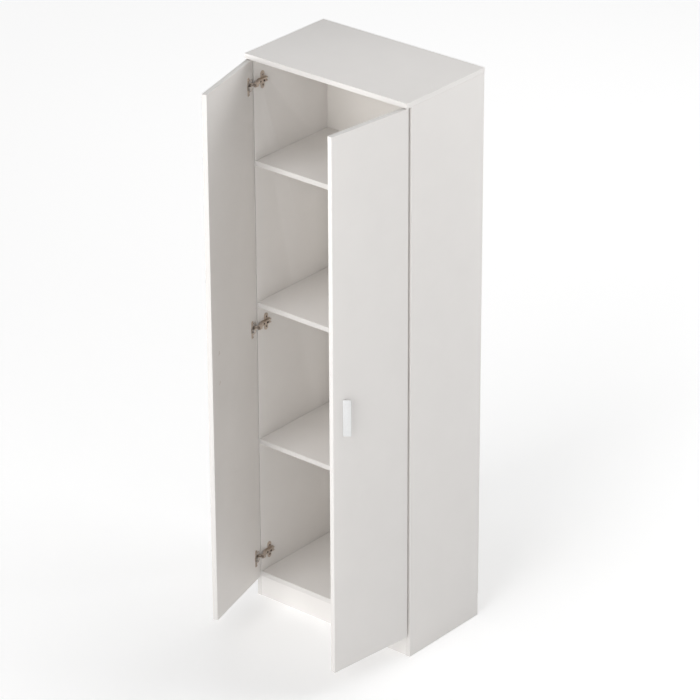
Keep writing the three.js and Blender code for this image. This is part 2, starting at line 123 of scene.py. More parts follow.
# Edge band: white ABS tape, glued on hot and scraped flush. It is a little smoother than the
# faces, and the scraper leaves faint chatter marks about 1.2 mm apart.
edge_band, tree = start_material("abs_edge_band_white")
place = add_node(tree, "ShaderNodeTexCoord")
chatter = add_node(tree, "ShaderNodeTexNoise", {"Scale": per_metre(1.2), "Detail": 2.0},
                   {"Vector": (place, "Object")})
sheen = add_node(tree, "ShaderNodeMapRange", {"To Min": 0.34, "To Max": 0.42}, {"Value": (chatter, "Fac")})
relief = add_node(tree, "ShaderNodeBump", {"Distance": 0.01 * millimetre, "Strength": 0.25},
                  {"Height": (chatter, "Fac")})
shader = add_node(tree, "ShaderNodeBsdfPrincipled", {"Base Color": linear("#E0DDDA"), "IOR": 1.53},
                  {"Roughness": (sheen, "Result"), "Normal": (relief, "Normal")})
add_node(tree, "ShaderNodeOutputMaterial", links={"Surface": (shader, "BSDF")})

# Chipboard: the bare core, seen only inside the bores. Its chips are about 2 mm wide, in
# browns from dark bark to pale wood, and the drill leaves them rough.
chipboard, tree = start_material("chipboard_core")
place = add_node(tree, "ShaderNodeTexCoord")
chips = add_node(tree, "ShaderNodeTexNoise", {"Scale": per_metre(2.0), "Detail": 4.0},
                 {"Vector": (place, "Object")})
shade = add_node(tree, "ShaderNodeMixRGB", {"Color1": linear("#8A6A42"), "Color2": linear("#C6A676")},
                 {"Fac": (chips, "Fac")})
relief = add_node(tree, "ShaderNodeBump", {"Distance": 0.2 * millimetre, "Strength": 0.6},
                  {"Height": (chips, "Fac")})
shader = add_node(tree, "ShaderNodeBsdfPrincipled", {"Roughness": 0.85},
                  {"Base Color": (shade, "Color"), "Normal": (relief, "Normal")})
add_node(tree, "ShaderNodeOutputMaterial", links={"Surface": (shader, "BSDF")})

body_of = {node: body for body, nodes in frame["record"]["behaviour"]["bodies"].items() for node in nodes}
cad_weld = 0.002 * millimetre
flat_angle = math.radians(1.0)
smooth_angle = math.radians(35.0)
board_corner_degrees = 80.0
board_ease_steps = 3
square_on = 0.95
board_ease = 0.5 * millimetre
board_shortest_edge = 13.0 * millimetre


# A CAD node's mesh, with its loose triangles joined to whole faces
def merged_copy(node):
    mesh = bmesh.new()
    mesh.from_mesh(frame["nodes"][node].data)
    bmesh.ops.remove_doubles(mesh, verts=mesh.verts, dist=cad_weld)
    bmesh.ops.dissolve_limit(mesh, angle_limit=flat_angle, verts=mesh.verts, edges=mesh.edges,
                             delimit=set())
    mesh.normal_update()
    return mesh


def mesh_object(mesh, name, materials):
    data = bpy.data.meshes.new(name)
    mesh.to_mesh(data)
    mesh.free()
    for material in materials:
        data.materials.append(material)
    thing = bpy.data.objects.new(name, data)
    bpy.context.scene.collection.objects.link(thing)
    return thing


def finish_piece(mesh, name, node, materials):
    for face in mesh.faces:
        face.smooth = True
    for edge in mesh.edges:
        edge.smooth = len(edge.link_faces) == 2 and edge.calc_face_angle(0.0) < smooth_angle
    piece = mesh_object(mesh, name, materials)
    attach(piece, body_of[node])
    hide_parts(node)


def ease_edges(mesh, width, least_degrees=60.0, shortest=0.0, steps=2):
    edges = [edge for edge in mesh.edges
             if edge.calc_length() > shortest and edge.calc_face_angle(0.0) > math.radians(least_degrees)
             and edge.is_convex]
    bmesh.ops.bevel(mesh, geom=edges, offset=width, offset_type="OFFSET", affect="EDGES", segments=steps,
                    profile=0.5, material=-1, clamp_overlap=True)


# A board's materials come in this order: its face, its band and the core inside its bores
def dress_board(mesh, ease, shortest):
    ease_edges(mesh, ease, board_corner_degrees, shortest, board_ease_steps)
    broad = max(mesh.faces, key=lambda face: face.calc_area()).normal.copy()
    for face in mesh.faces:
        outermost = max(vert.co.dot(face.normal) for vert in mesh.verts)
        inside = outermost - face.calc_center_median().dot(face.normal) > ease
        faced = abs(face.normal.dot(broad)) > square_on or abs(face.normal.x) > square_on
        face.material_index = 2 if inside else 0 if faced else 1


for node in ("top_panel", "left_side", "right_side", "bottom_panel", "plinth",
             "lower_shelf", "middle_shelf", "upper_shelf"):
    board = merged_copy(node)
    dress_board(board, board_ease, board_shortest_edge)
    finish_piece(board, node + "_board", node, [melamine, edge_band, chipboard])

# Back panel: 3 mm hardboard, printed white, nailed to the rear edges of the boards. The print is
# duller than melamine and runs round the long edges. The short edges are sawn, and brown.
hardboard_face, tree = start_material("hardboard_printed_white")
place = add_node(tree, "ShaderNodeTexCoord")
fibres = add_node(tree, "ShaderNodeTexNoise", {"Scale": per_metre(1.5), "Detail": 4.0},
                  {"Vector": (place, "Object")})
sheen = add_node(tree, "ShaderNodeMapRange", {"To Min": 0.50, "To Max": 0.62}, {"Value": (fibres, "Fac")})
relief = add_node(tree, "ShaderNodeBump", {"Distance": 0.02 * millimetre, "Strength": 0.3},
                  {"Height": (fibres, "Fac")})
shader = add_node(tree, "ShaderNodeBsdfPrincipled", {"Base Color": linear("#DDD9D4"), "IOR": 1.45},
                  {"Roughness": (sheen, "Result"), "Normal": (relief, "Normal")})
add_node(tree, "ShaderNodeOutputMaterial", links={"Surface": (shader, "BSDF")})

hardboard_edge, tree = start_material("hardboard_sawn_edge")
place = add_node(tree, "ShaderNodeTexCoord")
fibres = add_node(tree, "ShaderNodeTexNoise", {"Scale": per_metre(0.7), "Detail": 4.0},
                  {"Vector": (place, "Object")})
shade = add_node(tree, "ShaderNodeMixRGB", {"Color1": linear("#6B4D31"), "Color2": linear("#8C6A48")},
                 {"Fac": (fibres, "Fac")})
relief = add_node(tree, "ShaderNodeBump", {"Distance": 0.1 * millimetre, "Strength": 0.6},
                  {"Height": (fibres, "Fac")})
shader = add_node(tree, "ShaderNodeBsdfPrincipled", {"Roughness": 0.9},
                  {"Base Color": (shade, "Color"), "Normal": (relief, "Normal")})
add_node(tree, "ShaderNodeOutputMaterial", links={"Surface": (shader, "BSDF")})

hardboard_ease = 0.2 * millimetre
hardboard_shortest_edge = 2.5 * millimetre
nail_head_rise = 0.15 * millimetre
panel_low, panel_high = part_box("back_panel")
hardboard = merged_copy("back_panel")
rear_verts = [vert for vert in hardboard.verts if vert.co.y > panel_high.y - nail_head_rise]
bmesh.ops.translate(hardboard, vec=(0.0, -nail_head_rise, 0.0), verts=rear_verts)
dress_board(hardboard, hardboard_ease, hardboard_shortest_edge)
finish_piece(hardboard, "back_panel_hardboard", "back_panel", [hardboard_face, hardboard_edge, chipboard])

# Nails of the back panel: bright steel pins with flat heads 5 mm wide, driven in from behind
# along all four edges, about 150 mm apart. Only their heads show.
nail_steel, tree = start_material("bright_nail_steel")
place = add_node(tree, "ShaderNodeTexCoord")
strikes = add_node(tree, "ShaderNodeTexNoise", {"Scale": per_metre(0.8), "Detail": 2.0},
                   {"Vector": (place, "Object")})
sheen = add_node(tree, "ShaderNodeMapRange", {"To Min": 0.25, "To Max": 0.5}, {"Value": (strikes, "Fac")})
shader = add_node(tree, "ShaderNodeBsdfPrincipled", {"Base Color": linear("#BDBCBA"), "Metallic": 1.0},
                  {"Roughness": (sheen, "Result")})
add_node(tree, "ShaderNodeOutputMaterial", links={"Surface": (shader, "BSDF")})

nail_head_radius = 2.5 * millimetre
nail_head_depth = 0.8 * millimetre
nail_head_steps = 16
nail_inset = 6.5 * millimetre
nail_spacing = 150.0 * millimetre
# Turns a shape whose axis is Z to lie along Y
along_y = Matrix.Rotation(-math.pi / 2, 4, "X")


def spread(low, high, spacing):
    count = round((high - low) / spacing)
    return [low + (high - low) * i / count for i in range(count + 1)]


nail_rows_x = spread(panel_low.x + nail_inset, panel_high.x - nail_inset, nail_spacing)
nail_rows_z = spread(panel_low.z + nail_inset, panel_high.z - nail_inset, nail_spacing)
nail_places = {(x, z) for x in nail_rows_x for z in (nail_rows_z[0], nail_rows_z[-1])}
nail_places |= {(x, z) for x in (nail_rows_x[0], nail_rows_x[-1]) for z in nail_rows_z}
nails = bmesh.new()
for x, z in sorted(nail_places):
    centre = Matrix.Translation((x, panel_high.y - nail_head_depth / 2, z))
    bmesh.ops.create_cone(nails, cap_ends=True, segments=nail_head_steps, radius1=nail_head_radius,
                          radius2=nail_head_radius, depth=nail_head_depth, matrix=centre @ along_y)
ease_edges(nails, nail_head_rise / 2, steps=1)
nail_piece = mesh_object(nails, "back_panel_nails", [nail_steel])
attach(nail_piece, body_of["back_panel"])

# Doors: the same white board, banded on all four edges, with a blind bore for each hinge cup
# and small holes for the screws of the hinges and of the pull.
for side in ("left", "right"):
    door = merged_copy(side + "_door")
    dress_board(door, board_ease, board_shortest_edge)
    finish_piece(door, side + "_door_board", side + "_door", [melamine, edge_band, chipboard])

# Shelf pins: turned steel pins, zinc-plated, pushed into holes in the sides. Each shelf lies
# loose on four of them. Zinc is a cool grey, with faint patches about 2.5 mm wide.
zinc, tree = start_material("zinc_plated_steel")
place = add_node(tree, "ShaderNodeTexCoord")
spangle = add_node(tree, "ShaderNodeTexNoise", {"Scale": per_metre(2.5), "Detail": 3.0},
                   {"Vector": (place, "Object")})
shade = add_node(tree, "ShaderNodeMixRGB", {"Color1": linear("#AFB0B2"), "Color2": linear("#C4C5C5")},
                 {"Fac": (spangle, "Fac")})
sheen = add_node(tree, "ShaderNodeMapRange", {"To Min": 0.26, "To Max": 0.42}, {"Value": (spangle, "Fac")})
shader = add_node(tree, "ShaderNodeBsdfPrincipled", {"Metallic": 1.0},
                  {"Base Color": (shade, "Color"), "Roughness": (sheen, "Result")})
add_node(tree, "ShaderNodeOutputMaterial", links={"Surface": (shader, "BSDF")})

shelf_pin_radius = 2.5 * millimetre
shelf_pin_ease = 0.6 * millimetre
round_steps = 32
# Turns a shape whose axis is Z to lie along X
along_x = Matrix.Rotation(math.pi / 2, 4, "Y")
for node in body_of:
    if "_shelf_pin_" in node:
        low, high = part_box(node)
        pin = bmesh.new()
        bmesh.ops.create_cone(pin, cap_ends=True, segments=round_steps, radius1=shelf_pin_radius,
                              radius2=shelf_pin_radius, depth=high.x - low.x,
                              matrix=Matrix.Translation((low + high) / 2) @ along_x)
        ease_edges(pin, shelf_pin_ease, steps=3)
        finish_piece(pin, node + "_turned", node, [zinc])

# Mounting plates of the hinges: pressed steel, nickel-plated, each held to the side by two
# screws sunk in its ears. Nickel is a warm brownish grey with a soft shine. Its plating clouds
# over about 3 mm, and the press leaves drawing marks 0.5 mm apart.
nickel, tree = start_material("nickel_plated_steel")
place = add_node(tree, "ShaderNodeTexCoord")
plating = add_node(tree, "ShaderNodeTexNoise", {"Scale": per_metre(3.0), "Detail": 3.0},
                   {"Vector": (place, "Object")})
drawing = add_node(tree, "ShaderNodeTexNoise", {"Scale": per_metre(0.5), "Detail": 2.0},
                   {"Vector": (place, "Object")})
shade = add_node(tree, "ShaderNodeMixRGB", {"Color1": linear("#C2B5AA"), "Color2": linear("#D8CBC0")},
                 {"Fac": (plating, "Fac")})
sheen = add_node(tree, "ShaderNodeMapRange", {"To Min": 0.26, "To Max": 0.42}, {"Value": (plating, "Fac")})
relief = add_node(tree, "ShaderNodeBump", {"Distance": 0.01 * millimetre, "Strength": 0.4},
                  {"Height": (drawing, "Fac")})
shader = add_node(tree, "ShaderNodeBsdfPrincipled", {"Metallic": 1.0},
                  {"Base Color": (shade, "Color"), "Roughness": (sheen, "Result"),
                   "Normal": (relief, "Normal")})
add_node(tree, "ShaderNodeOutputMaterial", links={"Surface": (shader, "BSDF")})

# Recesses of the screws: painted shade, a near-black colour put only on the faces inside the heads'
# recesses, where shade falls. Its roughness varies over about 1 mm, which leaves some spots a little
# shinier.
recess_shade_paint, tree = start_material("painted_recess_shade")
place = add_node(tree, "ShaderNodeTexCoord")
oil = add_node(tree, "ShaderNodeTexNoise", {"Scale": per_metre(1.0), "Detail": 2.0},
               {"Vector": (place, "Object")})
sheen = add_node(tree, "ShaderNodeMapRange", {"To Min": 0.35, "To Max": 0.55}, {"Value": (oil, "Fac")})
shader = add_node(tree, "ShaderNodeBsdfPrincipled", {"Base Color": linear("#1E1814"), "IOR": 1.5},
                  {"Roughness": (sheen, "Result")})
add_node(tree, "ShaderNodeOutputMaterial", links={"Surface": (shader, "BSDF")})

# The hinges' materials: nickel, and the near-black painted shade for the recesses of the screws
hinge_metal_and_shade = [nickel, recess_shade_paint]
recess_shade_slot = 1
cross_arm_angle = math.radians(18.0)
cross_waist_share = 0.62
seam_weld = 0.0001 * millimetre
nearly = 0.001 * millimetre


def put(whole, part, metal=None):
    if metal is not None:
        for face in part.faces:
            face.material_index = metal
    data = bpy.data.meshes.new("part")
    part.to_mesh(data)
    part.free()
    whole.from_mesh(data)
    bpy.data.meshes.remove(data)


def box_part(low, high, ease):
    part = bmesh.new()
    size = Vector(high) - Vector(low)
    centre = Matrix.Translation((Vector(high) + Vector(low)) / 2)
    bmesh.ops.create_cube(part, size=1.0, matrix=centre @ Matrix.Diagonal((*size, 1.0)))
    ease_edges(part, ease)
    return part


# A skin drawn tight over circles, each given by its radius and its place
def hull_part(rings, ease):
    part = bmesh.new()
    for ring, turn in rings:
        bmesh.ops.create_circle(part, cap_ends=False, segments=round_steps, radius=ring, matrix=turn)
    hull = bmesh.ops.convex_hull(part, input=part.verts)
    bmesh.ops.delete(part, geom=list({item for item in hull["geom_interior"] + hull["geom_unused"]
                                      if isinstance(item, bmesh.types.BMVert)}), context="VERTS")
    loose = [edge for edge in part.edges if not edge.link_faces]
    bmesh.ops.delete(part, geom=loose, context="EDGES")
    bmesh.ops.recalc_face_normals(part, faces=part.faces)
    bmesh.ops.dissolve_limit(part, angle_limit=flat_angle, verts=part.verts, edges=part.edges)
    ease_edges(part, ease)
    return part


# A turned part from its profile of radius and height. The faces of the last rows can be a recess coloured
# dark as painted shade, and a crossed recess is drawn in between the arms of its cross.
def turned_part(profile, recess_rows=0, crossed=False):
    part = bmesh.new()
    verts = [part.verts.new((radius, 0.0, height)) for radius, height in profile]
    edges = [part.edges.new(pair) for pair in zip(verts, verts[1:])]
    bmesh.ops.spin(part, geom=verts + edges, cent=(0.0, 0.0, 0.0), axis=(0.0, 0.0, 1.0),
                   angle=2 * math.pi, steps=round_steps, use_merge=True)
    bmesh.ops.remove_doubles(part, verts=part.verts, dist=seam_weld)
    bmesh.ops.recalc_face_normals(part, faces=part.faces)
    # Faces sunk inside the recess take the painted shade colour
    if recess_rows:
        rim_radius, rim_height = profile[-recess_rows]
        lowest = min(height for radius, height in profile[-recess_rows:])
        for face in part.faces:
            centre = face.calc_center_median()
            sunk = lowest - nearly < centre.z < rim_height - nearly
            if sunk and math.hypot(centre.x, centre.y) < rim_radius:
                face.material_index = recess_shade_slot
    if crossed:
        for vert in part.verts:
            reach = math.hypot(vert.co.x, vert.co.y)
            if any(abs(vert.co.z - height) < seam_weld and abs(reach - radius) < nearly
                   for radius, height in profile[-recess_rows:-1]):
                quarter = math.atan2(vert.co.y, vert.co.x) % (math.pi / 2)
                if min(quarter, math.pi / 2 - quarter) > cross_arm_angle:
                    vert.co.x *= cross_waist_share
                    vert.co.y *= cross_waist_share
    return part


def moved_part(part, turn):
    bmesh.ops.transform(part, matrix=turn, verts=part.verts)
    return part


def in_mm(*profile):
    return [(radius * millimetre, height * millimetre) for radius, height in profile]


def rod_part(start, end, radius, ease):
    part = bmesh.new()
    middle = Matrix.Translation((start + end) / 2)
    turn = (end - start).to_track_quat("Z", "Y").to_matrix().to_4x4()
    bmesh.ops.create_cone(part, cap_ends=True, segments=round_steps, radius1=radius, radius2=radius,
                          depth=(end - start).length, matrix=middle @ turn)
    ease_edges(part, ease)
    return part


# The hinges are drawn in their own frame: X away from the side, Y to the back, Z up
def side_place(side, level):
    board_low, board_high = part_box(side + "_side")
    plate_low, plate_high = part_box(f"{side}_{level}_hinge_plate")
    hand = 1.0 if side == "left" else -1.0
    face_x = board_high.x if side == "left" else board_low.x
    place = Matrix.Translation((face_x, board_low.y, (plate_low.z + plate_high.z) / 2))
    return place @ Matrix.Diagonal((hand, 1.0, 1.0, 1.0))


def add_placed_copy(part, turn, name, node, materials):
    copy = part.copy()
    bmesh.ops.transform(copy, matrix=turn, verts=copy.verts)
    if turn.determinant() < 0:
        bmesh.ops.reverse_faces(copy, faces=copy.faces)
    copy.normal_update()
    finish_piece(copy, name, node, materials)


hinge_spots = [(side, level) for side in ("left", "right") for level in ("lower", "middle", "upper")]
plate_thickness = 2.0 * millimetre
plate_centre = 37.0 * millimetre
plate_screw_half_span = 16.0 * millimetre
plate_ear_radius = 8.0 * millimetre
plate_ear_reach = 27.5 * millimetre
plate_ease = 0.35 * millimetre
tongue_thickness = 1.9 * millimetre
tongue_half = 8.0 * millimetre
tongue_front = 14.0 * millimetre
tongue_back = 53.5 * millimetre
rail_top = 7.5 * millimetre
rail_half = 4.9 * millimetre
rail_front = 24.5 * millimetre
rail_back = 50.0 * millimetre
plate = bmesh.new()
ear_middles = [(x, plate_centre, way * (plate_ear_reach - plate_ear_radius))
               for way in (-1, 1) for x in (0.0, plate_thickness)]
ear_rings = [(plate_ear_radius, Matrix.Translation(middle) @ along_x) for middle in ear_middles]
put(plate, hull_part(ear_rings, plate_ease))
put(plate, box_part((0.0, tongue_front, -tongue_half), (tongue_thickness, tongue_back, tongue_half),
                    plate_ease))
put(plate, box_part((tongue_thickness / 2, rail_front, -rail_half), (rail_top, rail_back, rail_half),
                    plate_ease))
boss_profile = in_mm((5.4, 1.2), (5.4, 2.0), (4.9, 3.1), (4.5, 3.5), (4.0, 3.5), (3.4, 2.3))
wood_screw_profile = in_mm((0.0, -10.0), (1.75, -8.2), (1.75, 0.4), (3.6, 2.4), (3.5, 2.9), (3.2, 3.2),
                           (2.7, 3.2), (2.2, 2.1), (0.0, 2.05))
for way in (-1, 1):
    screw_place = Matrix.Translation((0.0, plate_centre, way * plate_screw_half_span)) @ along_x
    put(plate, moved_part(turned_part(boss_profile), screw_place))
    put(plate, moved_part(turned_part(wood_screw_profile, recess_rows=3), screw_place))
for side, level in hinge_spots:
    node = f"{side}_{level}_hinge_plate"
    add_placed_copy(plate, side_place(side, level), node + "_pressing", node, hinge_metal_and_shade)
plate.free()

# Arms of the hinges: a steel strip folded to a channel, with a nose that holds the two pins of
# the links. Its rear end is open for the fixing screw. The adjusting screw sits in front of it.
arm_sheet = 1.2 * millimetre
arm_half_width = 6.5 * millimetre
arm_fold = 1.1 * millimetre
arm_fold_steps = 4
arm_back = 52.0 * millimetre
arm_top = 9.0 * millimetre
crank_back = 12.0 * millimetre
crank_front = 2.0 * millimetre
foot = 2.3 * millimetre
foot_front = 6.0 * millimetre
pins_out = 14.0 * millimetre
inner_pin_back = -3.5 * millimetre
outer_pin_back = -8.5 * millimetre
pin_radius = 1.25 * millimetre
pin_proud = 0.2 * millimetre
pin_ease = 0.15 * millimetre
nose_radius = 4.0 * millimetre
nose_steps = 12
slot_half = 2.6 * millimetre
slot_front = 31.0 * millimetre
adjusting_half = 3.1 * millimetre
adjusting_place = 20.0 * millimetre
fixing_place = 33.5 * millimetre
web_margin = 0.5 * millimetre
straight_out = 0.99

# The arm's outline from the side, as X and Y: its web, round the nose and back along its foot
nose_top = pins_out + nose_radius
arm_web = [(arm_top, arm_back), (arm_top, crank_back), (nose_top, crank_front), (nose_top, outer_pin_back)]
nose_angles = [math.pi * i / nose_steps for i in range(1, nose_steps + 1)]
nose_arc = [(pins_out + nose_radius * math.cos(angle), outer_pin_back - nose_radius * math.sin(angle))
            for angle in nose_angles]
arm_foot = [(pins_out - nose_radius, inner_pin_back), (foot, foot_front), (foot, arm_back)]
arm_skin = bmesh.new()
cheeks = []
for way in (-1, 1):
    ring = [arm_skin.verts.new((x, y, way * arm_half_width)) for x, y in arm_web + nose_arc + arm_foot]
    arm_skin.faces.new(ring)
    cheeks.append(ring)
for i in range(len(arm_web) - 1):
    arm_skin.faces.new((cheeks[0][i], cheeks[0][i + 1], cheeks[1][i + 1], cheeks[1][i]))
bmesh.ops.recalc_face_normals(arm_skin, faces=arm_skin.faces)
folds = [edge for edge in arm_skin.edges if len(edge.link_faces) == 2]
bmesh.ops.bevel(arm_skin, geom=folds, offset=arm_fold, offset_type="OFFSET", affect="EDGES",
                segments=arm_fold_steps, profile=0.5, material=-1, clamp_overlap=True)

# Openings in the web, as front, back and half width: the fixing screw's slot, which is open to
# the rear, and the adjusting screw's window
openings = ((slot_front, arm_back, slot_half),
            (adjusting_place - adjusting_half, adjusting_place + adjusting_half, adjusting_half))
cuts = [(way * half, (0.0, 0.0, 1.0)) for front, back, half in openings for way in (-1, 1)]
cuts += [(place, (0.0, 1.0, 0.0)) for front, back, half in openings for place in (front, back)]
for offset, axis in cuts:
    flat_web = [face for face in arm_skin.faces
                if face.normal.x > straight_out and face.calc_center_median().x < arm_top + web_margin]
    region = flat_web + list({edge for face in flat_web for edge in face.edges})
    region += list({vert for face in flat_web for vert in face.verts})
    bmesh.ops.bisect_plane(arm_skin, geom=region, plane_co=Vector(axis) * offset, plane_no=axis)
opened = [face for face in arm_skin.faces if face.normal.x > straight_out
          and any(front < face.calc_center_median().y < back and abs(face.calc_center_median().z) < half
                  for front, back, half in openings)]
bmesh.ops.delete(arm_skin, geom=opened, context="FACES")
arm_skin.normal_update()
if sum(face.normal.x for face in arm_skin.faces if abs(face.normal.x) > straight_out) < 0:
    bmesh.ops.reverse_faces(arm_skin, faces=arm_skin.faces)
bmesh.ops.solidify(arm_skin, geom=arm_skin.faces, thickness=arm_sheet)
bmesh.ops.recalc_face_normals(arm_skin, faces=arm_skin.faces)
arm = bmesh.new()
put(arm, arm_skin)
adjusting_profile = in_mm((0.0, 2.3), (3.3, 2.3), (3.3, 8.7), (4.4, 9.0), (4.4, 9.35), (4.0, 9.6),
                          (3.05, 9.6), (2.85, 6.6), (1.5, 6.5), (0.0, 6.5))
fixing_profile = in_mm((0.0, 2.3), (2.6, 2.3), (2.6, 9.0), (4.2, 9.0), (4.2, 10.7), (4.05, 11.1),
                       (3.8, 11.2), (3.5, 11.2), (3.2, 9.15), (0.0, 9.1))
for profile, y, recess_rows in ((adjusting_profile, adjusting_place, 4), (fixing_profile, fixing_place, 3)):
    put(arm, moved_part(turned_part(profile, recess_rows), Matrix.Translation((0.0, y, 0.0)) @ along_x))
for pin_back in (inner_pin_back, outer_pin_back):
    centre = Vector((pins_out, pin_back, 0.0))
    reach = Vector((0.0, 0.0, arm_half_width + pin_proud))
    put(arm, rod_part(centre - reach, centre + reach, pin_radius, pin_ease))
for side, level in hinge_spots:
    node = f"{side}_{level}_hinge_arm"
    add_placed_copy(arm, side_place(side, level), node + "_channel", node, hinge_metal_and_shade)
arm.free()

# Links of the hinges: stamped steel. The outer link is a pair of nickel-plated cheeks on one
# barrel, and the inner link a thick bar between them, left dark and oiled.
link_steel, tree = start_material("oiled_link_steel")
place = add_node(tree, "ShaderNodeTexCoord")
oil = add_node(tree, "ShaderNodeTexNoise", {"Scale": per_metre(1.5), "Detail": 3.0},
               {"Vector": (place, "Object")})
shade = add_node(tree, "ShaderNodeMixRGB", {"Color1": linear("#756B62"), "Color2": linear("#8F857B")},
                 {"Fac": (oil, "Fac")})
sheen = add_node(tree, "ShaderNodeMapRange", {"To Min": 0.32, "To Max": 0.48}, {"Value": (oil, "Fac")})
shader = add_node(tree, "ShaderNodeBsdfPrincipled", {"Metallic": 1.0},
                  {"Base Color": (shade, "Color"), "Roughness": (sheen, "Result")})
add_node(tree, "ShaderNodeOutputMaterial", links={"Surface": (shader, "BSDF")})

link_ease = 0.2 * millimetre
link_corner_degrees = 30.0
for side, level in hinge_spots:
    for link, metal in (("outer_link", nickel), ("inner_link", link_steel)):
        node = f"{side}_{level}_hinge_{link}"
        stamping = merged_copy(node)
        ease_edges(stamping, link_ease, link_corner_degrees)
        finish_piece(stamping, node + "_stamping", node, [metal])

# Cups of the hinges: deep-drawn steel, nickel-plated, let into the door and held by two screws
# through its ears. Two inner walls carry the pins of the links. The bowl is bead-blasted inside,
# so it looks paler and softer than the nickel round it.
blasted_nickel, tree = start_material("blasted_nickel_bowl")
place = add_node(tree, "ShaderNodeTexCoord")
beads = add_node(tree, "ShaderNodeTexNoise", {"Scale": per_metre(1.0), "Detail": 2.0},
                 {"Vector": (place, "Object")})
sheen = add_node(tree, "ShaderNodeMapRange", {"To Min": 0.40, "To Max": 0.55}, {"Value": (beads, "Fac")})
shader = add_node(tree, "ShaderNodeBsdfPrincipled", {"Base Color": linear("#EFEBE7"), "Metallic": 0.7},
                  {"Roughness": (sheen, "Result")})
add_node(tree, "ShaderNodeOutputMaterial", links={"Surface": (shader, "BSDF")})

bowl_metal = 2
mostly_out = 0.5
cup_centre = 20.5 * millimetre
cup_outer = 17.2 * millimetre
cup_inner = 16.5 * millimetre
cup_ease = 0.2 * millimetre
flange_foot = 0.3 * millimetre
flange_top = 1.3 * millimetre
flange_cut = 8.0 * millimetre
ear_top = 1.25 * millimetre
ear_centre = 31.0 * millimetre
ear_radius = 6.0 * millimetre
ear_tip = 23.0 * millimetre
ear_screw_half_span = 24.0 * millimetre
ear_root_radius = 0.4 * millimetre
ear_root_reach = 17.6 * millimetre
ear_root_angles = [math.radians(angle) for angle in (25.0, 45.0, 68.0)]
wall_radius = 16.85 * millimetre
wall_depth = 12.1 * millimetre
wall_half_gap = 6.2 * millimetre
wall_end = 16.0 * millimetre
wall_steps = 64
cup_pin_end = 9.5 * millimetre
# Each pin of the links in the cup: its X, its Y and where it starts, in millimetres
cup_pins = ((9.18, -5.62, 2.7), (12.12, -2.21, 4.9))
cup_middle = Matrix.Translation((cup_centre, 0.0, 0.0)) @ along_y
cup_profile = in_mm((0.0, -12.5), (16.7, -12.5), (17.05, -12.35), (17.2, -12.0), (17.2, 0.3), (18.5, 0.3),
                    (18.7, 0.5), (18.7, 1.1), (18.5, 1.3), (17.2, 1.3), (16.7, 1.1), (16.5, 0.7),
                    (16.5, -11.2), (16.35, -11.6), (16.0, -11.8), (0.0, -11.8))
cup_screw_profile = in_mm((0.0, -12.0), (1.75, -10.3), (1.75, 0.0), (3.4, 0.0), (3.4, 0.7), (3.0, 1.25),
                          (2.2, 1.5), (1.9, 1.5), (1.2, 0.2), (0.0, 0.1))
cup = bmesh.new()
bowl = moved_part(turned_part(cup_profile), cup_middle)
# On the hinge side the flange is cut away, and its rim is drawn in to the bowl's edge
for vert in bowl.verts:
    across = vert.co.x - cup_centre
    if vert.co.x < flange_cut and vert.co.y > flange_foot - seam_weld:
        share = min(1.0, cup_outer / math.hypot(across, vert.co.z))
        vert.co = Vector((cup_centre + across * share, flange_foot, vert.co.z * share))
bmesh.ops.remove_doubles(bowl, verts=bowl.verts, dist=seam_weld)
bowl.normal_update()
# The blasted metal is on the bowl's floor and inner wall, and nickel on the rest
for face in bowl.faces:
    centre = face.calc_center_median() - Vector((cup_centre, 0.0, 0.0))
    inner_face = face.normal.y > mostly_out or face.normal.dot(Vector((centre.x, 0.0, centre.z))) < 0
    within = math.hypot(centre.x, centre.z) < cup_inner
    face.material_index = bowl_metal if inner_face and within else 0
put(cup, bowl)
for way in (-1, 1):
    roots = [(cup_centre + ear_root_reach * math.cos(angle), way * ear_root_reach * math.sin(angle))
             for angle in ear_root_angles]
    ear_spots = [(ear_radius, (ear_centre, y, way * ear_tip)) for y in (flange_foot, ear_top)]
    ear_spots += [(ear_root_radius, (x, y, z)) for y in (flange_foot, ear_top) for x, z in roots]
    rings = [(radius, Matrix.Translation(spot) @ along_y) for radius, spot in ear_spots]
    put(cup, hull_part(rings, cup_ease))
    wall = bmesh.new()
    wall_middle = Matrix.Translation((cup_centre, -wall_depth / 2, 0.0)) @ along_y
    bmesh.ops.create_cone(wall, cap_ends=True, segments=wall_steps, radius1=wall_radius,
                          radius2=wall_radius, depth=wall_depth, matrix=wall_middle)
    for spot, outward in (((0.0, 0.0, way * wall_half_gap), (0.0, 0.0, -way)),
                          ((wall_end, 0.0, 0.0), (1.0, 0.0, 0.0))):
        geometry = list(wall.verts) + list(wall.edges) + list(wall.faces)
        bmesh.ops.bisect_plane(wall, geom=geometry, plane_co=spot, plane_no=outward, clear_outer=True)
        rim = [edge for edge in wall.edges if edge.is_boundary]
        bmesh.ops.edgenet_fill(wall, edges=rim)
    bmesh.ops.recalc_face_normals(wall, faces=wall.faces)
    ease_edges(wall, cup_ease)
    put(cup, wall, bowl_metal)
    for pin in cup_pins:
        x, y, pin_start = (size * millimetre for size in pin)
        first, last = (Vector((x, y, way * z)) for z in (pin_start, cup_pin_end))
        put(cup, rod_part(first, last, pin_radius, pin_ease))
    screw_place = Matrix.Translation((ear_centre, flange_top, way * ear_screw_half_span)) @ along_y
    put(cup, moved_part(turned_part(cup_screw_profile, recess_rows=3, crossed=True), screw_place))


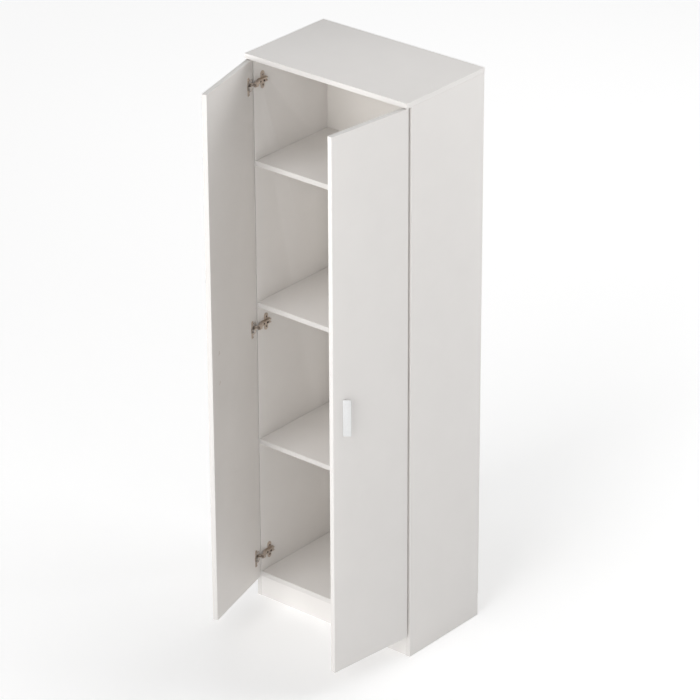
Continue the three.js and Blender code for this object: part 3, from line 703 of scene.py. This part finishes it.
# A door's frame: X across it from its hinge edge, Y out of its inner face, Z up
def door_place(side, height):
    board = merged_copy(side + "_door")
    hand = 1.0 if side == "left" else -1.0
    broad = max(board.faces, key=lambda face: face.calc_area()).normal
    pull_middle, door_middle = (sum(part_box(side + piece), Vector()) / 2 for piece in ("_handle", "_door"))
    inward = -broad if broad.dot(pull_middle - door_middle) > 0 else broad.copy()
    across = Vector((inward.y, -inward.x, 0.0)) * hand
    corner = across * min(vert.co.dot(across) for vert in board.verts)
    corner += inward * max(vert.co.dot(inward) for vert in board.verts)
    board.free()
    turn = Matrix((across, inward, Vector((0.0, 0.0, 1.0)))).transposed().to_4x4()
    return Matrix.Translation((corner.x, corner.y, height)) @ turn


for side, level in hinge_spots:
    node = f"{side}_{level}_hinge_cup"
    low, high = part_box(node)
    place = door_place(side, (low.z + high.z) / 2)
    add_placed_copy(cup, place, node + "_drawn", node, hinge_metal_and_shade + [blasted_nickel])
cup.free()

# Pulls: an extruded aluminium lip with a hollow for the fingers, cut to length and satin
# anodised. Brushing along its length leaves lines about 0.25 mm apart. The milky oxide hides
# most of the metal, so the pull looks pale and only half reflects.
satin_aluminium, tree = start_material("satin_anodised_aluminium")
place = add_node(tree, "ShaderNodeTexCoord")
lengthwise = add_node(tree, "ShaderNodeMapping", {"Scale": (1.0, 1.0, 0.02)}, {"Vector": (place, "Object")})
brushing = add_node(tree, "ShaderNodeTexNoise", {"Scale": per_metre(0.25), "Detail": 3.0},
                    {"Vector": (lengthwise, "Vector")})
etching = add_node(tree, "ShaderNodeTexNoise", {"Scale": per_metre(4.0), "Detail": 3.0},
                   {"Vector": (place, "Object")})
shade = add_node(tree, "ShaderNodeMixRGB", {"Color1": linear("#D9DADA"), "Color2": linear("#E6E6E6")},
                 {"Fac": (etching, "Fac")})
sheen = add_node(tree, "ShaderNodeMapRange", {"To Min": 0.34, "To Max": 0.52}, {"Value": (brushing, "Fac")})
relief = add_node(tree, "ShaderNodeBump", {"Distance": 0.01 * millimetre, "Strength": 0.3},
                  {"Height": (brushing, "Fac")})
shader = add_node(tree, "ShaderNodeBsdfPrincipled", {"Metallic": 0.35},
                  {"Base Color": (shade, "Color"), "Roughness": (sheen, "Result"),
                   "Normal": (relief, "Normal")})
add_node(tree, "ShaderNodeOutputMaterial", links={"Surface": (shader, "BSDF")})

pull_ease = 0.3 * millimetre
pull_corner_degrees = 40.0
for side in ("left", "right"):
    pull = merged_copy(side + "_handle")
    ease_edges(pull, pull_ease, pull_corner_degrees, steps=3)
    finish_piece(pull, side + "_handle_extrusion", side + "_handle", [satin_aluminium])

# Pull screws: zinc-plated screws from inside the door, each under a moulded white cap that lies
# flush with the door's inner face. The mould's spark-eroded grain of 0.5 mm leaves it half matt.
cap_white, tree = start_material("moulded_cap_white")
place = add_node(tree, "ShaderNodeTexCoord")
spark = add_node(tree, "ShaderNodeTexNoise", {"Scale": per_metre(0.5), "Detail": 2.0},
                 {"Vector": (place, "Object")})
sheen = add_node(tree, "ShaderNodeMapRange", {"To Min": 0.38, "To Max": 0.46}, {"Value": (spark, "Fac")})
relief = add_node(tree, "ShaderNodeBump", {"Distance": 0.02 * millimetre, "Strength": 0.3},
                  {"Height": (spark, "Fac")})
shader = add_node(tree, "ShaderNodeBsdfPrincipled", {"Base Color": linear("#E6E3DF"), "IOR": 1.5},
                  {"Roughness": (sheen, "Result"), "Normal": (relief, "Normal")})
add_node(tree, "ShaderNodeOutputMaterial", links={"Surface": (shader, "BSDF")})

pull_screw_across = 251.3 * millimetre
cap_profile = in_mm((0.0, -1.6), (5.0, -1.6), (5.0, -0.5), (4.85, -0.15), (4.5, 0.0), (0.0, 0.0))
shank_profile = in_mm((0.0, -20.3), (1.6, -20.3), (2.0, -19.9), (2.0, -4.2), (4.0, -4.2), (4.0, -1.7),
                      (0.0, -1.7))
pull_screw = bmesh.new()
put(pull_screw, turned_part(cap_profile), 0)
put(pull_screw, turned_part(shank_profile), 1)
moved_part(pull_screw, Matrix.Translation((pull_screw_across, 0.0, 0.0)) @ along_y)
for side in ("left", "right"):
    for number in (1, 2):
        node = f"{side}_handle_screw_{number}"
        low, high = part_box(node)
        place = door_place(side, (low.z + high.z) / 2)
        add_placed_copy(pull_screw, place, node + "_capped", node, [cap_white, zinc])
pull_screw.free()

# Studio: a plain white floor that glows more with distance, and soft light from all round. The
# strongest light stands in front, and weaker ones behind and to the sides fill the shadows.
glow_start = 0.4
glow_end = 9.0
near_glow = 0.26
far_glow = 0.94
floor_paint, tree = start_material("studio_floor_white")
place = add_node(tree, "ShaderNodeTexCoord")
roller = add_node(tree, "ShaderNodeTexNoise", {"Scale": per_metre(4.0), "Detail": 2.0},
                  {"Vector": (place, "Object")})
sheen = add_node(tree, "ShaderNodeMapRange", {"To Min": 0.85, "To Max": 0.95}, {"Value": (roller, "Fac")})
distance = add_node(tree, "ShaderNodeVectorMath", {"operation": "LENGTH"}, {"Vector": (place, "Object")})
backlight = add_node(tree, "ShaderNodeMapRange",
                     {"From Min": glow_start, "From Max": glow_end, "To Min": near_glow, "To Max": far_glow},
                     {"Value": (distance, "Value")})
shader = add_node(tree, "ShaderNodeBsdfPrincipled",
                  {"Base Color": linear("#F6F6F6"), "Emission Color": (1.0, 1.0, 1.0, 1.0)},
                  {"Roughness": (sheen, "Result"), "Emission Strength": (backlight, "Result")})
add_node(tree, "ShaderNodeOutputMaterial", links={"Surface": (shader, "BSDF")})

floor_half_size = 300.0
floor_mesh = bmesh.new()
bmesh.ops.create_grid(floor_mesh, x_segments=1, y_segments=1, size=floor_half_size)
floor = mesh_object(floor_mesh, "floor", [floor_paint])

air_glow = 0.09
world = bpy.data.worlds.new("studio_air")
world.use_nodes = True
world.node_tree.nodes["Background"].inputs["Color"].default_value = (1.0, 1.0, 1.0, 1.0)
world.node_tree.nodes["Background"].inputs["Strength"].default_value = air_glow
bpy.context.scene.world = world
bpy.context.scene.view_settings.view_transform = "Standard"

# Each light's name, its place, the point it faces, its width in metres and its power in watts
lights = (("front_light", (0.8, -6.0, 3.5), (0.0, 0.0, 0.9), 4.0, 213.0),
          ("low_front_light", (0.3, -5.0, 1.0), (0.0, 0.0, 0.8), 2.5, 29.0),
          ("low_left_light", (-3.0, -3.0, 0.8), (0.0, 0.0, 0.8), 2.0, 39.0),
          ("right_light", (2.2, 1.8, 3.0), (0.3, 0.0, 1.2), 2.0, 32.0),
          ("back_left_light", (-3.0, 3.0, 4.0), (0.0, 0.0, 1.0), 3.0, 28.0),
          ("back_light", (0.5, 4.5, 4.0), (0.0, 0.0, 1.6), 3.0, 65.0),
          ("overhead_light", (0.0, -0.5, 5.0), (0.0, 0.0, 0.0), 3.0, 37.0))
for name, spot, target, width, power in lights:
    light_data = bpy.data.lights.new(name, "AREA")
    light_data.shape = "SQUARE"
    light_data.size = width
    light_data.energy = power
    light = bpy.data.objects.new(name, light_data)
    light.location = spot
    light.rotation_euler = (Vector(target) - Vector(spot)).to_track_quat("-Z", "Y").to_euler()
    bpy.context.scene.collection.objects.link(light)
